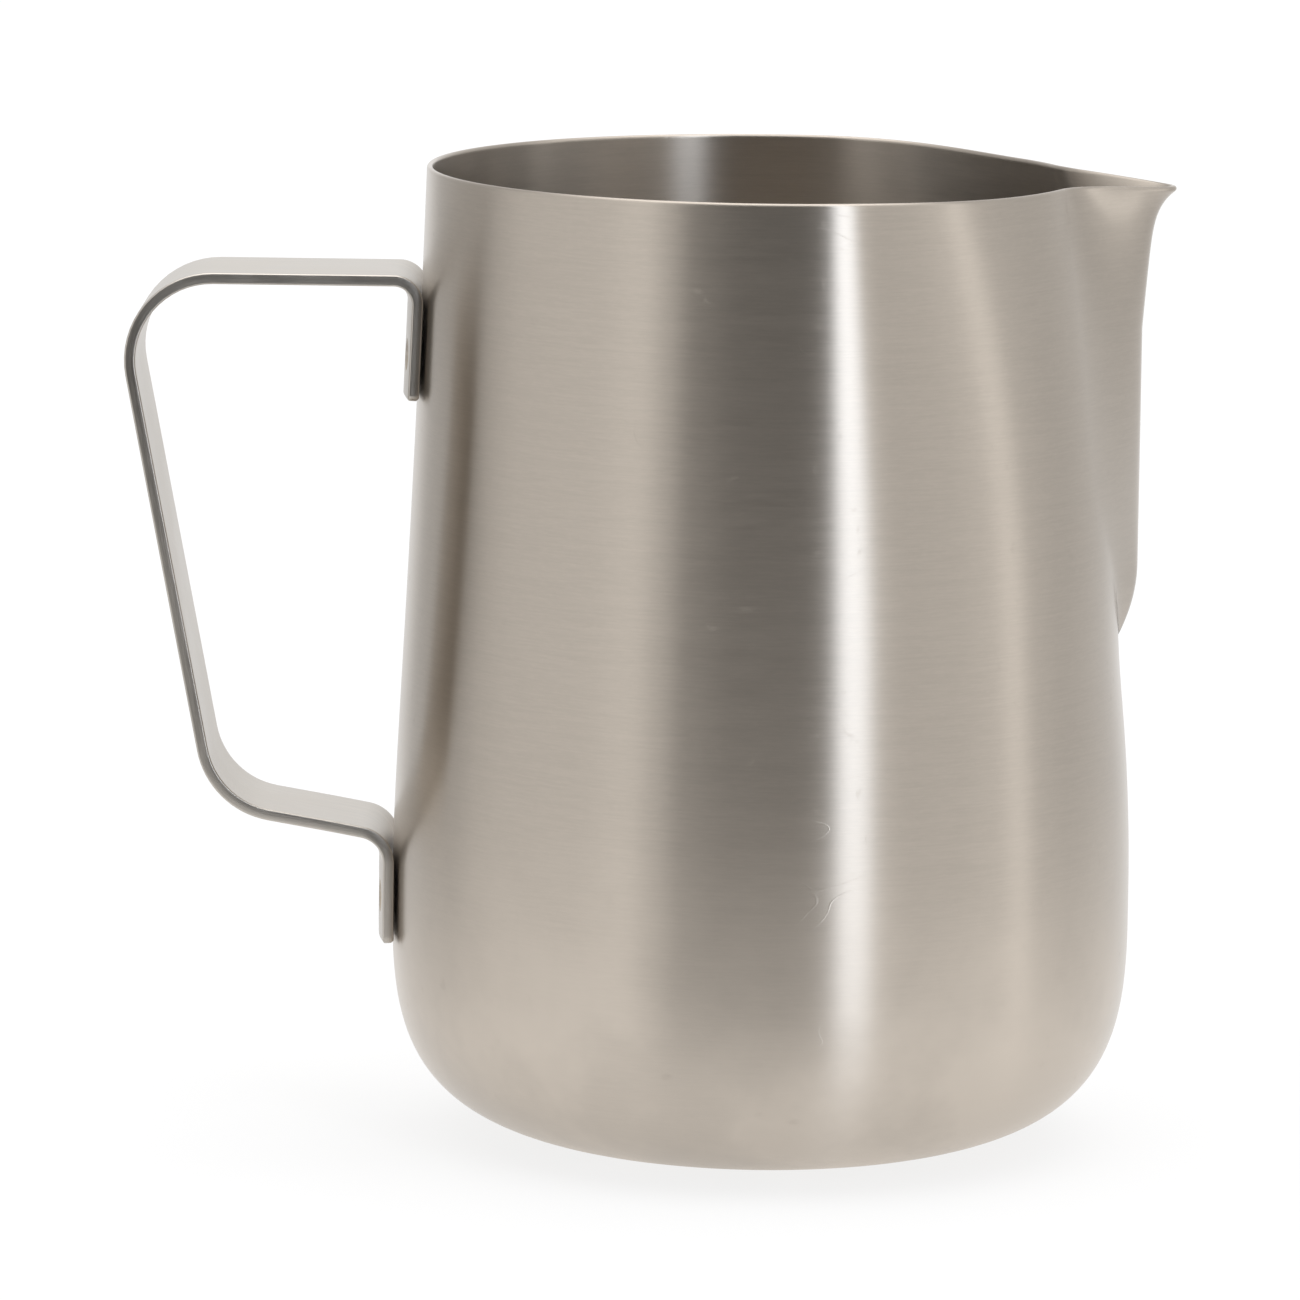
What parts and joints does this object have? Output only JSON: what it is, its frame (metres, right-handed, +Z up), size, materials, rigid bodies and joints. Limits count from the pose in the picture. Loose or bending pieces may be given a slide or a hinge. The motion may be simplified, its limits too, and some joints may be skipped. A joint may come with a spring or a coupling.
{
  "type": "milk frothing pitcher",
  "caption": "Bellied steel jug with an open top, a pointed spout pressed out of its wall and a bent flat-strap handle opposite.",
  "frame": {"origin": "centre of the flat base, on the axis of the jug", "axes": "+Z up along the jug's axis, +X towards the spout, the handle on the -X side"},
  "size_m": [0.1218, 0.0864, 0.114],
  "materials": {
    "body_shell": "fine brushed, satin",
    "handle_strap": "satin",
    "welds": "dull, heat tinted"
  },
  "bodies": {
    "root": {"body_shell": "body_shell", "handle_strap": "handle_strap", "upper_weld_left": "welds", "upper_weld_right": "welds", "lower_weld_left": "welds", "lower_weld_right": "welds"}
  },
  "joints": []
}
